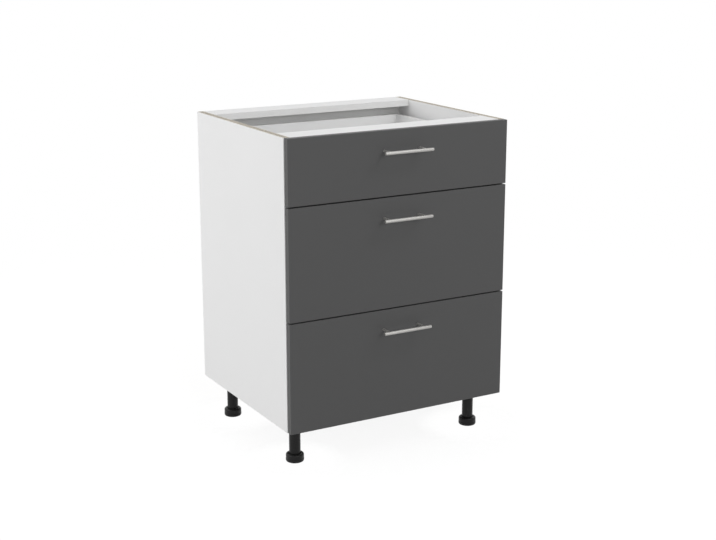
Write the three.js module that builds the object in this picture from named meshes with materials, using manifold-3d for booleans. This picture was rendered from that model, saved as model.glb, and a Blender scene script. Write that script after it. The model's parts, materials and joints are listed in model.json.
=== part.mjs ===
// Kitchen base cabinet, 600 mm wide: a white chipboard carcass on four levelling legs, and
// three drawers with dark slab fronts and bar handles that run on steel roller runners.
// Units are millimetres, +Z is up and the drawer fronts face -Y. The origin lies on the
// floor, in the middle of the footprint, which reaches from the handles to the rear edge.

import * as THREE from 'three';
import { mergeVertices } from 'three/addons/utils/BufferGeometryUtils.js';
import Module from 'manifold-3d';

const wasm = await Module();
wasm.setup();

// ---------------------------------------------------------------- driving dimensions

// Clearances shared by all pieces
const SEAT_GAP = 0.1; // glue line between pieces fixed face to face
const SLIP_GAP = 0.25; // loose sheet in its groove, plug in its socket

// Carcass
const CABINET_W = 600;
const CARCASS_H = 700;
const CARCASS_D = 484;
const BOARD_T = 16;
const RAIL_W = 70; // the two flat top rails, front to back
const BACK_T = 3; // hardboard back panel
const BACK_INSET = 16; // board left behind the back panel's groove
const GROOVE_DEPTH = 6;
const GROOVE_END_GAP = 1; // sheet edge to groove bottom

// Drawer fronts
const FRONT_T = 16;
const FRONT_REVEAL = 1.5; // carcass side beyond each end of a front
const FRONT_GAP = 3; // between two fronts
const TOP_FRONT_H = 156;
const FRONT_EDGE_R = 1.2;
const BUFFER_GAP = 0.5; // closed front to carcass edge

// Drawer boxes
const BOX_REAR_ROOM = 12; // least room between a box and the back panel
const BOX_SIDE_T = 12;
const BOX_EDGE_EASE = 1; // eased long edges of a box side
const BOX_UNDER_RAIL = 24; // top rail's underside to the top edge of the box below it
const BASE_T = 3; // hardboard drawer base
const BASE_RISE = 10; // lower edge of a box side to its base groove
const BASE_GROOVE_DEPTH = 5;

// Bar handles
const HANDLE_L = 130;
const HANDLE_BAR_D = 8;
const HANDLE_BAR_CHAMFER = 0.6;
const HANDLE_POST_D = 6;
const HANDLE_SPACING = 96; // between the two posts
const HANDLE_CLEARANCE = 30; // finger room between front and bar
const HANDLE_DROP = 48; // top edge of a front to bar axis

// Roller runners
const RUNNER_STOCK_STEP = 50; // runners and boxes come in lengths of this step
const RUNNER_LOSS = 105; // runner length that the travel falls short of
const RUNNER_SPACE = 12.5; // carcass side to box side
const RUNNER_GAUGE = 1.2; // sheet steel
const RUNNER_BEND_R = 0.8; // inside radius of a fold
const RUNNER_SETBACK = 2; // carcass front edge to channel
const RUNNER_SIDE_GAP = 1; // between channel lip and moving profile
const CHANNEL_OVER_PANEL = 5.7; // bottom panel to the lowest channel
const PROFILE_H = 17; // moving profile, flange to flange
const PROFILE_LEDGE = 9; // ledge that reaches under the box side
const ROLLER_D = 20;
const ROLLER_CHAMFER = 0.9;
const ROLLER_END = 15; // roller axis to the end of its profile
const ROLLER_RUN_GAP = 0.3; // tread to track
const ROLLER_WEB_GAP = 0.6; // roller face to the web that carries it
const FLANGE_GAP = 0.6; // moving flange to the channel's upper lip
const AXLE_D = 5;
const AXLE_RUN_GAP = 0.1; // roller bore around its axle
const AXLE_HEAD_LIP = 2;
const AXLE_HEAD_T = 0.8;
const AXLE_HEAD_GAP = 0.3;
const AXLE_TIP_GAP = 1.2; // axle head to the web opposite
const ENTRY_L = 45; // front end of the channel without an upper lip
const STOP_H = 3; // stop tab that ends the travel
const STOP_W = 5;
const STOP_GAP = 0.5;
const SCREW_HOLE_D = 4.5;
const SCREW_FIRST = 37; // first screw behind the carcass front edge
const SCREW_PITCH = 32;
const CHANNEL_SCREW_STEPS = [0, 4, 9];
const PROFILE_SCREW_STEPS = [0, 6];

// Levelling legs
const LEG_H = 100; // floor to carcass
const LEG_INSET_X = 49; // cabinet side to leg axis
const LEG_INSET_FRONT = 59; // carcass front edge to leg axis
const LEG_INSET_BACK = 65; // carcass rear edge to leg axis
const SOCKET_PLATE_L = 64;
const SOCKET_PLATE_R = 8;
const SOCKET_PLATE_T = 4;
const SOCKET_COLLAR_H = 22;
const SOCKET_WALL = 3;
const TUBE_D = 26.6;
const TUBE_WALL = 3;
const TUBE_CAP_T = 4; // closed upper end of the tube
const FOOT_RIM = 9.2; // foot's reach beyond the tube
const FOOT_H = 21;
const FOOT_SOLE_H = 6.5; // lower tier of the foot
const FOOT_TIER_STEP = 1; // upper tier, turned by hand, inside the lower one
const FOOT_SHOULDER_R = 5;
const FOOT_CHAMFER = 1;
const FOOT_NECK_H = 1.2; // groove between the tiers, as deep as the chamfer
const FOOT_NECK_SLOPE_H = 0.8; // from the groove out to the upper tier
const FOOT_CUP_DEPTH = 4; // recess that takes the tube's end
const FOOT_CUP_GAP = 1;
const TUBE_IN_CUP = 0.6; // tube end below the foot's rim
const SPINDLE_GAP = 0.3;
const SPINDLE_HEADROOM = 26.8; // spindle's end to the end of the tube's bore

// Facets around round pieces
const BAR_SIDES = 16;
const ROLLER_SIDES = 16;
const HOLE_SIDES = 8;
const LEG_SIDES = 20;
const FOLD_STEPS = 3;
const SHOULDER_STEPS = 4;

// ---------------------------------------------------------------- derived dimensions

const INNER_W = CABINET_W - 2 * BOARD_T;
const HANDLE_PROJECTION = HANDLE_CLEARANCE + HANDLE_BAR_D;
const OVERALL_D = HANDLE_PROJECTION + FRONT_T + BUFFER_GAP + CARCASS_D;
const FRONT_FACE_Y = -OVERALL_D / 2 + HANDLE_PROJECTION;
const FRONT_BACK_Y = FRONT_FACE_Y + FRONT_T;
const CARCASS_FRONT_Y = FRONT_BACK_Y + BUFFER_GAP;

const FRONT_W = CABINET_W - 2 * FRONT_REVEAL;
const LOWER_FRONT_H = (CARCASS_H - TOP_FRONT_H - 2 * FRONT_GAP) / 2;

const BOX_DEPTH_ROOM = BUFFER_GAP + CARCASS_D - BACK_INSET - BACK_T - BOX_REAR_ROOM;
const BOX_L = RUNNER_STOCK_STEP * Math.floor(BOX_DEPTH_ROOM / RUNNER_STOCK_STEP);
const BOX_W = INNER_W - 2 * RUNNER_SPACE;
const TRAVEL = BOX_L - RUNNER_LOSS;

// Runner section, with u from the carcass side towards the box and w up from the channel
const ROLLER_R = ROLLER_D / 2;
const AXLE_W = RUNNER_GAUGE + ROLLER_RUN_GAP + ROLLER_R;
const FLANGE_W = AXLE_W + ROLLER_R + ROLLER_RUN_GAP;
const PROFILE_LOW_W = FLANGE_W + RUNNER_GAUGE - PROFILE_H;
const CHANNEL_H = FLANGE_W + RUNNER_GAUGE + FLANGE_GAP + RUNNER_GAUGE;
const CHANNEL_WEB_U = SEAT_GAP + RUNNER_GAUGE; // inner face of the channel's web
const PROFILE_WEB_U = RUNNER_SPACE - SEAT_GAP - RUNNER_GAUGE; // outer face of the moving web
const CHANNEL_LIP_U = PROFILE_WEB_U - RUNNER_SIDE_GAP;
const AXLE_L = PROFILE_WEB_U - CHANNEL_WEB_U - AXLE_TIP_GAP;
const ROLLER_W = AXLE_L - ROLLER_WEB_GAP - AXLE_HEAD_GAP - AXLE_HEAD_T;
const CHANNEL_L = BOX_L - RUNNER_SETBACK;
const BOX_OVER_CHANNEL = PROFILE_LOW_W + RUNNER_GAUGE + SEAT_GAP; // box edge above channel

// A front's lower and upper edges to those of its box
const BOX_RISE = BOARD_T + CHANNEL_OVER_PANEL + BOX_OVER_CHANNEL;
const BOX_TOP_DROP = BOARD_T + BOX_UNDER_RAIL;

const TUBE_R = TUBE_D / 2;
const TUBE_BORE_R = TUBE_R - TUBE_WALL;
const SPINDLE_R = TUBE_BORE_R - SPINDLE_GAP;
const SOCKET_Z = LEG_H - SEAT_GAP;
const TUBE_TOP_Z = SOCKET_Z - SOCKET_PLATE_T - SEAT_GAP;
const BORE_TOP_Z = TUBE_TOP_Z - TUBE_CAP_T;

const DRAWERS = [
  { name: 'bottom', frontZ: 0, frontH: LOWER_FRONT_H },
  { name: 'middle', frontZ: LOWER_FRONT_H + FRONT_GAP, frontH: LOWER_FRONT_H },
  { name: 'top', frontZ: CARCASS_H - TOP_FRONT_H, frontH: TOP_FRONT_H },
];
const SIDES = [
  { name: 'left', sign: -1 },
  { name: 'right', sign: 1 },
];

// ---------------------------------------------------------------- finishes

function finish(color, roughness, metalness) {
  return new THREE.MeshStandardMaterial({ color, roughness, metalness });
}

const FINISH = {
  board: finish('#eeeeee', 0.5, 0),
  sheet: finish('#e6e6e4', 0.6, 0),
  front: finish('#515152', 0.55, 0),
  handle: finish('#c9c7c3', 0.3, 1),
  steel: finish('#e8e8e6', 0.4, 0.2),
  roller: finish('#d9d6cc', 0.45, 0),
  plastic: finish('#222222', 0.5, 0),
};

// ---------------------------------------------------------------- shaping

const UNIT = {
  x: new THREE.Vector3(1, 0, 0),
  y: new THREE.Vector3(0, 1, 0),
  z: new THREE.Vector3(0, 0, 1),
};

// Turns a section drawn in (across, up) and extruded along +Z so that it runs along an axis:
// 'x' takes a section in (y, z), 'y' one in (x, z) and 'z' one in (x, y).
const ALONG = {
  x: new THREE.Matrix4().makeBasis(UNIT.y, UNIT.z, UNIT.x),
  y: new THREE.Matrix4().makeBasis(UNIT.x, UNIT.z, UNIT.y.clone().negate()),
  z: new THREE.Matrix4(),
};

function named(name, material, geometry, x = 0, y = 0, z = 0) {
  const mesh = new THREE.Mesh(geometry, material);
  mesh.name = name;
  mesh.position.set(x, y, z);
  return mesh;
}

// Flat board between opposite corners, each axis given as [low, high].
function board(name, material, xs, ys, zs) {
  const [w, d, h] = [xs, ys, zs].map(([low, high]) => high - low);
  const middle = [xs, ys, zs].map(([low, high]) => (low + high) / 2);
  return named(name, material, new THREE.BoxGeometry(w, d, h), ...middle);
}

// Straight piece of constant section, centred on its length.
function prism(section, axis, length) {
  const shape = new THREE.Shape(section.map(([a, b]) => new THREE.Vector2(a, b)));
  const geometry = new THREE.ExtrudeGeometry(shape, { depth: length, bevelEnabled: false });
  return geometry.translate(0, 0, -length / 2).applyMatrix4(ALONG[axis]);
}

// Turned piece about +Z from a profile of [radius, height] points.
function turned(profile, sides) {
  const points = profile.map(([r, z]) => new THREE.Vector2(r, z));
  return new THREE.LatheGeometry(points, sides).rotateX(Math.PI / 2);
}

// Round bar of the given radius that runs from `from` along an axis.
function rod(radius, length, axis, from, sides) {
  const geometry = new THREE.CylinderGeometry(radius, radius, length, sides);
  geometry.rotateX(Math.PI / 2).translate(0, 0, length / 2).applyMatrix4(ALONG[axis]);
  return geometry.translate(...from);
}

// Section of a folded strip: the centre line's corners become bends of one inside radius.
function foldedStrip(corners, gauge, insideRadius) {
  const line = corners.map(([a, b]) => new THREE.Vector2(a, b));
  const sides = [[], []];
  const radius = insideRadius + gauge / 2;
  const add = (at, normal) => {
    sides[0].push(at.clone().addScaledVector(normal, gauge / 2));
    sides[1].unshift(at.clone().addScaledVector(normal, -gauge / 2));
  };
  const direction = (i) => line[i + 1].clone().sub(line[i]).normalize();
  const normalOf = (d) => new THREE.Vector2(-d.y, d.x);
  add(line[0], normalOf(direction(0)));
  for (let i = 1; i < line.length - 1; i++) {
    const [before, after] = [direction(i - 1), direction(i)];
    const turn = Math.atan2(before.cross(after), before.dot(after));
    const start = line[i].clone().addScaledVector(before, -radius * Math.tan(Math.abs(turn) / 2));
    const towards = normalOf(before).multiplyScalar(Math.sign(turn));
    const centre = start.clone().addScaledVector(towards, radius);
    for (let step = 0; step <= FOLD_STEPS; step++) {
      const angle = (turn * step) / FOLD_STEPS;
      const at = start.clone().rotateAround(centre, angle);
      add(at, normalOf(before).rotateAround(new THREE.Vector2(), angle));
    }
  }
  add(line.at(-1), normalOf(direction(line.length - 2)));
  return sides.flat().map((p) => [p.x, p.y]);
}

function solid(geometry) {
  const bare = geometry.clone();
  for (const attribute of ['normal', 'uv']) bare.deleteAttribute(attribute);
  const merged = mergeVertices(bare);
  const index = merged.index.array;
  const triangles = [];
  for (let i = 0; i < index.length; i += 3) {
    const [a, b, c] = index.slice(i, i + 3);
    if (a !== b && b !== c && c !== a) triangles.push(a, b, c);
  }
  return new wasm.Manifold(
    new wasm.Mesh({
      numProp: 3,
      vertProperties: new Float32Array(merged.attributes.position.array),
      triVerts: new Uint32Array(triangles),
    }),
  );
}

function shaped(manifold) {
  const mesh = manifold.getMesh();
  const geometry = new THREE.BufferGeometry();
  geometry.setAttribute('position', new THREE.BufferAttribute(mesh.vertProperties, 3));
  geometry.setIndex(new THREE.BufferAttribute(mesh.triVerts, 1));
  geometry.computeVertexNormals();
  return geometry;
}

function joined(geometries, cuts = []) {
  const body = geometries.map(solid).reduce((whole, piece) => whole.add(piece));
  return shaped(cuts.map(solid).reduce((whole, tool) => whole.subtract(tool), body));
}

// Rectangle outline with eased corners and a notch of the given depth in its upper edge.
function notchedSection([a0, a1], [b0, b1], [n0, n1], depth, ease = 0) {
  const corner = (a, b, alongA, alongB) =>
    (ease ? [[a + alongA * ease, b], [a, b + alongB * ease]] : [[a, b]]);
  return [
    ...corner(a0, b0, 1, 1).reverse(), ...corner(a1, b0, -1, 1), ...corner(a1, b1, -1, -1).reverse(),
    [n1, b1], [n1, b1 - depth], [n0, b1 - depth], [n0, b1], ...corner(a0, b1, 1, -1),
  ];
}

const swapped = (section) => section.map(([a, b]) => [b, a]);
const flippedDown = (section, sum) => section.map(([a, b]) => [a, sum - b]);
const scaledAcross = (section, sign) => section.map(([a, b]) => [sign * a, b]);

// ---------------------------------------------------------------- carcass

// The carcass frame starts at the front edges of the boards and at their lower edges.
function buildCarcass() {
  const carcass = new THREE.Group();
  carcass.position.set(0, CARCASS_FRONT_Y, LEG_H);

  const depth = [0, CARCASS_D];
  const sheet = [CARCASS_D - BACK_INSET - BACK_T, CARCASS_D - BACK_INSET];
  const groove = [sheet[0] - SLIP_GAP, sheet[1] + SLIP_GAP];
  const outer = CABINET_W / 2;
  const inner = INNER_W / 2;
  const boardLength = INNER_W - 2 * SEAT_GAP;

  for (const { name, sign } of SIDES) {
    const section = notchedSection(depth, [-outer, -inner], groove, GROOVE_DEPTH);
    const geometry = prism(scaledAcross(swapped(section), -sign), 'z', CARCASS_H);
    carcass.add(named(`side_${name}`, FINISH.board, geometry, 0, 0, CARCASS_H / 2));
  }

  const floorSection = notchedSection(depth, [0, BOARD_T], groove, GROOVE_DEPTH);
  carcass.add(named('bottom_panel', FINISH.board, prism(floorSection, 'x', boardLength)));

  const rearRail = notchedSection([CARCASS_D - RAIL_W, CARCASS_D], [0, BOARD_T], groove, GROOVE_DEPTH);
  const rearGeometry = prism(flippedDown(rearRail, BOARD_T), 'x', boardLength);
  carcass.add(named('rail_back', FINISH.board, rearGeometry, 0, 0, CARCASS_H - BOARD_T));

  const railX = [-boardLength / 2, boardLength / 2];
  carcass.add(board('rail_front', FINISH.board, railX, [0, RAIL_W], [CARCASS_H - BOARD_T, CARCASS_H]));

  const reach = GROOVE_DEPTH - GROOVE_END_GAP;
  const backX = [-inner - reach, inner + reach];
  const backZ = [BOARD_T - reach, CARCASS_H - BOARD_T + reach];
  carcass.add(board('back_panel', FINISH.sheet, backX, sheet, backZ));

  for (const drawer of DRAWERS) {
    for (const side of SIDES) {
      const runner = buildChannel(drawer.name, side);
      const channelZ = drawer.frontZ + BOX_RISE - BOX_OVER_CHANNEL;
      runner.position.set(side.sign * inner, RUNNER_SETBACK, channelZ);
      carcass.add(runner);
    }
  }
  return carcass;
}

// ---------------------------------------------------------------- roller runners

// Section points in (u, w), where u runs from the carcass side towards the middle.
const runnerSection = (corners, sign) =>
  scaledAcross(foldedStrip(corners, RUNNER_GAUGE, RUNNER_BEND_R), -sign);

// Riveted axle that starts inside a web at u and points along `towards` (+1 is inwards).
function axle(u, towards, sign, y, w) {
  const out = -sign * towards;
  const rootLength = RUNNER_GAUGE / 2;
  const shankLength = rootLength + AXLE_L - AXLE_HEAD_T / 2;
  const along = (start, length) => (out > 0 ? start : start - length);
  const foot = -sign * u - out * rootLength;
  const head = -sign * u + out * (AXLE_L - AXLE_HEAD_T);
  return [
    rod(AXLE_D / 2, shankLength, 'x', [along(foot, shankLength), y, w], ROLLER_SIDES),
    rod(AXLE_D / 2 + AXLE_HEAD_LIP, AXLE_HEAD_T, 'x', [along(head, AXLE_HEAD_T), y, w], ROLLER_SIDES),
  ];
}

function roller(name, u, towards, sign, y, w) {
  const [tread, bore, c] = [ROLLER_R, AXLE_D / 2 + AXLE_RUN_GAP, ROLLER_CHAMFER];
  const half = ROLLER_W / 2;
  const geometry = turned(
    [
      [bore, -half], [tread - c, -half], [tread, c - half],
      [tread, half - c], [tread - c, half], [bore, half], [bore, -half],
    ],
    ROLLER_SIDES,
  );
  geometry.rotateY(Math.PI / 2);
  const middle = u + towards * (ROLLER_WEB_GAP + half);
  return named(name, FINISH.roller, geometry, -sign * middle, y, w);
}

// Screw holes through a web, spaced on the carcass's 32 mm grid.
function screwHoles(steps, u, sign, y0, w) {
  const length = 4 * RUNNER_GAUGE;
  const x = -sign * u - length / 2;
  return steps.map((step) =>
    rod(SCREW_HOLE_D / 2, length, 'x', [x, y0 + step * SCREW_PITCH, w], HOLE_SIDES));
}

// Fixed member: a C channel that holds the front roller and guides the drawer's own roller.
// Its frame starts at the carcass side's inner face, at the channel's front and lower edges.
function buildChannel(drawerName, { name, sign }) {
  const half = RUNNER_GAUGE / 2;
  const webU = SEAT_GAP + half;
  const corners = [
    [CHANNEL_LIP_U, half], [webU, half], [webU, CHANNEL_H - half], [CHANNEL_LIP_U, CHANNEL_H - half],
  ];
  const channel = prism(runnerSection(corners, sign), 'y', CHANNEL_L).translate(0, CHANNEL_L / 2, 0);

  // The upper lip is left off at the front, where the drawer's roller is lifted in.
  const lipU = CHANNEL_LIP_U - CHANNEL_WEB_U - RUNNER_BEND_R;
  const entry = new THREE.BoxGeometry(2 * lipU, 2 * ENTRY_L, 2 * (RUNNER_GAUGE + RUNNER_BEND_R));
  entry.translate(-sign * (CHANNEL_LIP_U + RUNNER_SIDE_GAP / 2), 0, CHANNEL_H);

  // The drawer's roller meets the upper corner of this tab when the drawer is fully open.
  const boxRear = BOX_L - BUFFER_GAP - RUNNER_SETBACK;
  const openAxleY = boxRear - ROLLER_END - TRAVEL;
  const overTab = AXLE_W - RUNNER_GAUGE - STOP_H;
  const reach = Math.sqrt(ROLLER_R ** 2 - overTab ** 2);
  const stopRearY = openAxleY - reach - STOP_GAP;
  const stop = new THREE.BoxGeometry(STOP_W, RUNNER_GAUGE, STOP_H + half);
  const stopU = (CHANNEL_WEB_U + CHANNEL_LIP_U) / 2;
  stop.translate(-sign * stopU, stopRearY - half, RUNNER_GAUGE - half + (STOP_H + half) / 2);

  const holes = screwHoles(CHANNEL_SCREW_STEPS, webU, sign, SCREW_FIRST - RUNNER_SETBACK, CHANNEL_H / 2);
  const pieces = [channel, stop, ...axle(CHANNEL_WEB_U, 1, sign, ROLLER_END, AXLE_W)];

  const group = new THREE.Group();
  group.add(named(`channel_${drawerName}_${name}`, FINISH.steel, joined(pieces, [entry, ...holes])));
  group.add(roller(`channel_roller_${drawerName}_${name}`, CHANNEL_WEB_U, 1, sign, ROLLER_END, AXLE_W));
  return group;
}

// Moving member: a Z profile with a flange that rides on the channel's roller, a ledge under
// the box side and its own roller at the rear. Its frame starts at the front panel's back
// face and has w = 0 level with the channel's lower edge.
function buildProfile(drawerName, { name, sign }) {
  const half = RUNNER_GAUGE / 2;
  const webU = PROFILE_WEB_U + half;
  const flangeU = CHANNEL_WEB_U + RUNNER_SIDE_GAP;
  const top = FLANGE_W + half;
  const low = PROFILE_LOW_W + half;
  const corners = [[flangeU, top], [webU, top], [webU, low], [webU + PROFILE_LEDGE, low]];
  const length = BOX_L - SEAT_GAP;
  const profile = prism(runnerSection(corners, sign), 'y', length).translate(0, SEAT_GAP + length / 2, 0);

  const axleY = BOX_L - ROLLER_END;
  const holes = screwHoles(PROFILE_SCREW_STEPS, webU, sign, SCREW_FIRST, (top + low) / 2);
  const pieces = [profile, ...axle(PROFILE_WEB_U, -1, sign, axleY, AXLE_W)];

  const group = new THREE.Group();
  group.add(named(`drawer_${drawerName}_profile_${name}`, FINISH.steel, joined(pieces, holes)));
  group.add(roller(`drawer_${drawerName}_roller_${name}`, PROFILE_WEB_U, -1, sign, axleY, AXLE_W));
  return group;
}

// ---------------------------------------------------------------- drawers

// Slab with all edges rounded, standing on its lower edge with its back face at y = 0.
function frontSlab(width, height) {
  const r = FRONT_EDGE_R;
  const [x, z] = [width / 2 - r, height - 2 * r];
  const outline = [[-x, 0], [x, 0], [x, z], [-x, z]].map(([a, b]) => new THREE.Vector2(a, b));
  const geometry = new THREE.ExtrudeGeometry(new THREE.Shape(outline), {
    depth: FRONT_T - 2 * r, bevelThickness: r, bevelSize: r, bevelSegments: 2,
  });
  return geometry.translate(0, r, r).applyMatrix4(ALONG.y);
}

// Bar with chamfered ends on two posts, centred on the bar; the posts point along +Y.
function barHandle() {
  const [r, c, half] = [HANDLE_BAR_D / 2, HANDLE_BAR_CHAMFER, HANDLE_L / 2];
  const bar = turned(
    [[0, -half], [r - c, -half], [r, c - half], [r, half - c], [r - c, half], [0, half]],
    BAR_SIDES,
  ).rotateY(Math.PI / 2);
  const postLength = r + HANDLE_CLEARANCE - SEAT_GAP;
  const posts = SIDES.map(({ sign }) =>
    rod(HANDLE_POST_D / 2, postLength, 'y', [(sign * HANDLE_SPACING) / 2, postLength, 0], BAR_SIDES));
  return joined([bar, ...posts]);
}

// The drawer frame starts at the front panel's back face and lower edge.
function buildDrawer({ name, frontZ, frontH }) {
  const drawer = new THREE.Group();
  drawer.position.set(0, FRONT_BACK_Y, LEG_H + frontZ);
  const part = (piece) => `drawer_${name}_${piece}`;

  drawer.add(named(part('front'), FINISH.front, frontSlab(FRONT_W, frontH)));
  const barY = -FRONT_T - HANDLE_CLEARANCE - HANDLE_BAR_D / 2;
  drawer.add(named(part('handle'), FINISH.handle, barHandle(), 0, barY, frontH - HANDLE_DROP));

  const [lowZ, topZ] = [BOX_RISE, frontH - BOX_TOP_DROP];
  const outer = BOX_W / 2;
  const inner = outer - BOX_SIDE_T;
  const baseZ = [lowZ + BASE_RISE, lowZ + BASE_RISE + BASE_T];
  const sideLength = BOX_L - SEAT_GAP;
  const sideY = SEAT_GAP + sideLength / 2;

  const sheetGroove = [BASE_RISE - SLIP_GAP, BASE_RISE + BASE_T + SLIP_GAP];
  const section = swapped(
    notchedSection([0, topZ - lowZ], [0, BOX_SIDE_T], sheetGroove, BASE_GROOVE_DEPTH, BOX_EDGE_EASE),
  );
  for (const { name: hand, sign } of SIDES) {
    const geometry = prism(scaledAcross(section, -sign), 'y', sideLength);
    drawer.add(named(part(`side_${hand}`), FINISH.board, geometry, sign * outer, sideY, lowZ));
  }

  const backX = [SEAT_GAP - inner, inner - SEAT_GAP];
  const backZ = [baseZ[1] + SEAT_GAP, topZ];
  drawer.add(board(part('back'), FINISH.board, backX, [BOX_L - BOX_SIDE_T, BOX_L], backZ));

  const reach = BASE_GROOVE_DEPTH - GROOVE_END_GAP;
  drawer.add(board(part('base'), FINISH.sheet, [-inner - reach, inner + reach], [SEAT_GAP, BOX_L], baseZ));

  for (const side of SIDES) {
    const profile = buildProfile(name, side);
    profile.position.set((side.sign * INNER_W) / 2, 0, lowZ - BOX_OVER_CHANNEL);
    drawer.add(profile);
  }
  return drawer;
}

// ---------------------------------------------------------------- levelling legs

// Plate with a collar below it; the plate's upper face is at z = 0.
function legSocket() {
  const [half, r] = [SOCKET_PLATE_L / 2, SOCKET_PLATE_R];
  const plate = new THREE.Shape();
  plate.moveTo(half, r - half);
  plate.absarc(half - r, half - r, r, 0, Math.PI / 2);
  plate.absarc(r - half, half - r, r, Math.PI / 2, Math.PI);
  plate.absarc(r - half, r - half, r, Math.PI, 1.5 * Math.PI);
  plate.absarc(half - r, r - half, r, 1.5 * Math.PI, 2 * Math.PI);
  const slab = new THREE.ExtrudeGeometry(plate, {
    depth: SOCKET_PLATE_T, bevelEnabled: false, curveSegments: 3,
  }).translate(0, 0, -SOCKET_PLATE_T);

  const bore = TUBE_R + SLIP_GAP;
  const low = -SOCKET_PLATE_T - SOCKET_COLLAR_H;
  const high = -SOCKET_PLATE_T / 2;
  const collar = turned(
    [[bore, low], [bore + SOCKET_WALL, low], [bore + SOCKET_WALL, high], [bore, high], [bore, low]],
    LEG_SIDES,
  );
  return joined([slab, collar]);
}

// Tube with a closed upper end, from inside the foot's cup to the socket plate.
function legTube() {
  const low = FOOT_H - TUBE_IN_CUP;
  return turned(
    [
      [0, BORE_TOP_Z], [TUBE_BORE_R, BORE_TOP_Z], [TUBE_BORE_R, low],
      [TUBE_R, low], [TUBE_R, TUBE_TOP_Z], [0, TUBE_TOP_Z],
    ],
    LEG_SIDES,
  );
}

// Foot in two tiers with a rounded shoulder, a cup for the tube's end and a spindle.
function legFoot() {
  const sole = TUBE_R + FOOT_RIM;
  const grip = sole - FOOT_TIER_STEP;
  const [s, c] = [FOOT_SHOULDER_R, FOOT_CHAMFER];
  const neckTop = FOOT_SOLE_H + FOOT_NECK_H;
  const cup = TUBE_R + FOOT_CUP_GAP;
  const floor = FOOT_H - FOOT_CUP_DEPTH;
  const tip = BORE_TOP_Z - SPINDLE_HEADROOM;
  const shoulder = Array.from({ length: SHOULDER_STEPS + 1 }, (_, step) => {
    const angle = (step / SHOULDER_STEPS) * (Math.PI / 2);
    return [grip - s + s * Math.cos(angle), FOOT_H - s + s * Math.sin(angle)];
  });
  return turned(
    [
      [0, 0], [sole - c, 0], [sole, c], [sole, FOOT_SOLE_H - c], [sole - c, FOOT_SOLE_H],
      [grip - c, FOOT_SOLE_H], [grip - c, neckTop], [grip, neckTop + FOOT_NECK_SLOPE_H],
      ...shoulder, [cup, FOOT_H], [cup, floor], [SPINDLE_R, floor], [SPINDLE_R, tip - c],
      [SPINDLE_R - c, tip], [0, tip],
    ],
    LEG_SIDES,
  );
}

function buildLegs() {
  const legs = new THREE.Group();
  const rows = [
    { name: 'front', y: CARCASS_FRONT_Y + LEG_INSET_FRONT },
    { name: 'back', y: CARCASS_FRONT_Y + CARCASS_D - LEG_INSET_BACK },
  ];
  for (const { name: row, y } of rows) {
    for (const { name: hand, sign } of SIDES) {
      const leg = new THREE.Group();
      leg.position.set(sign * (CABINET_W / 2 - LEG_INSET_X), y, 0);
      const place = `${row}_${hand}`;
      leg.add(named(`leg_socket_${place}`, FINISH.plastic, legSocket(), 0, 0, SOCKET_Z));
      leg.add(named(`leg_tube_${place}`, FINISH.plastic, legTube()));
      leg.add(named(`leg_foot_${place}`, FINISH.plastic, legFoot()));
      legs.add(leg);
    }
  }
  return legs;
}

// ---------------------------------------------------------------- assembly

const cabinet = new THREE.Group();
cabinet.name = 'base_cabinet';
cabinet.add(buildCarcass(), buildLegs(), ...DRAWERS.map(buildDrawer));

export default cabinet;
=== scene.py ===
"""Kitchen base cabinet with three drawers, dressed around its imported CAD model.

Lengths are metres in the CAD model's own frame: the floor is z = 0, the drawer fronts face -Y
and the cabinet is centred on x = 0. Boards, fronts, handles, rollers and legs are built here
and stand for their CAD nodes; the folded runner profiles are the CAD nodes themselves.
"""

import json
import logging
import math
from collections.abc import Callable, Iterable, Mapping, Sequence
from dataclasses import dataclass
from enum import Enum
from typing import Any

import bmesh
import bpy
from mathutils import Matrix, Vector

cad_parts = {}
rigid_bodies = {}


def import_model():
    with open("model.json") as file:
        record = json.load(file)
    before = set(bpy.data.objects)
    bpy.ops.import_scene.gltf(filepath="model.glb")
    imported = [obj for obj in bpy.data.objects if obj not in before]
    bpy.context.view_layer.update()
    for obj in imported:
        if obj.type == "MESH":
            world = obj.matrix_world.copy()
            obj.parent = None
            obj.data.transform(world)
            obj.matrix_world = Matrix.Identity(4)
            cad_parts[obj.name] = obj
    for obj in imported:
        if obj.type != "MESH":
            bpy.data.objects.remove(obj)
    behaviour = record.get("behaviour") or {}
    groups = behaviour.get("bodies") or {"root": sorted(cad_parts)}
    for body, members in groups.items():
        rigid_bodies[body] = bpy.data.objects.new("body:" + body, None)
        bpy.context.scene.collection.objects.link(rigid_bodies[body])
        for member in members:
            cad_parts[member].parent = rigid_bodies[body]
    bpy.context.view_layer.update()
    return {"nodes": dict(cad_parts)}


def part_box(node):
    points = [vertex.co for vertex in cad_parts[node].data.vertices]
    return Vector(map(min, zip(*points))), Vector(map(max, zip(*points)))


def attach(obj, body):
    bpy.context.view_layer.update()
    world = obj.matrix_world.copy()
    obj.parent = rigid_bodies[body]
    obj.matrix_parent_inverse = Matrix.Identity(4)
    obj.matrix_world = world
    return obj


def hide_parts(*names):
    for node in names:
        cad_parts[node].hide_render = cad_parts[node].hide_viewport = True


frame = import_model()

LOG = logging.getLogger("base_cabinet")
MM = 0.001
MERGED = 0.001 * MM  # points this close are one
TOUCH = 0.01 * MM  # points this close to a plane lie on it
ROUNDED = math.radians(25)  # sharper outer edges are rounded
CREASE = math.radians(35)  # sharper edges are shaded as edges
CORNER = 0.3  # inset of a rounded corner's middle, against its radius
ALIGNED = 0.9  # cosine from which a face looks along an axis
UP = Vector((0, 0, 1))
WHITE = (1, 1, 1, 1)
TREAD = "tread"

Pair = tuple[float, float]
Triple = tuple[float, float, float]
Seat = tuple[Vector, Vector]


# ---- named options


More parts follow.
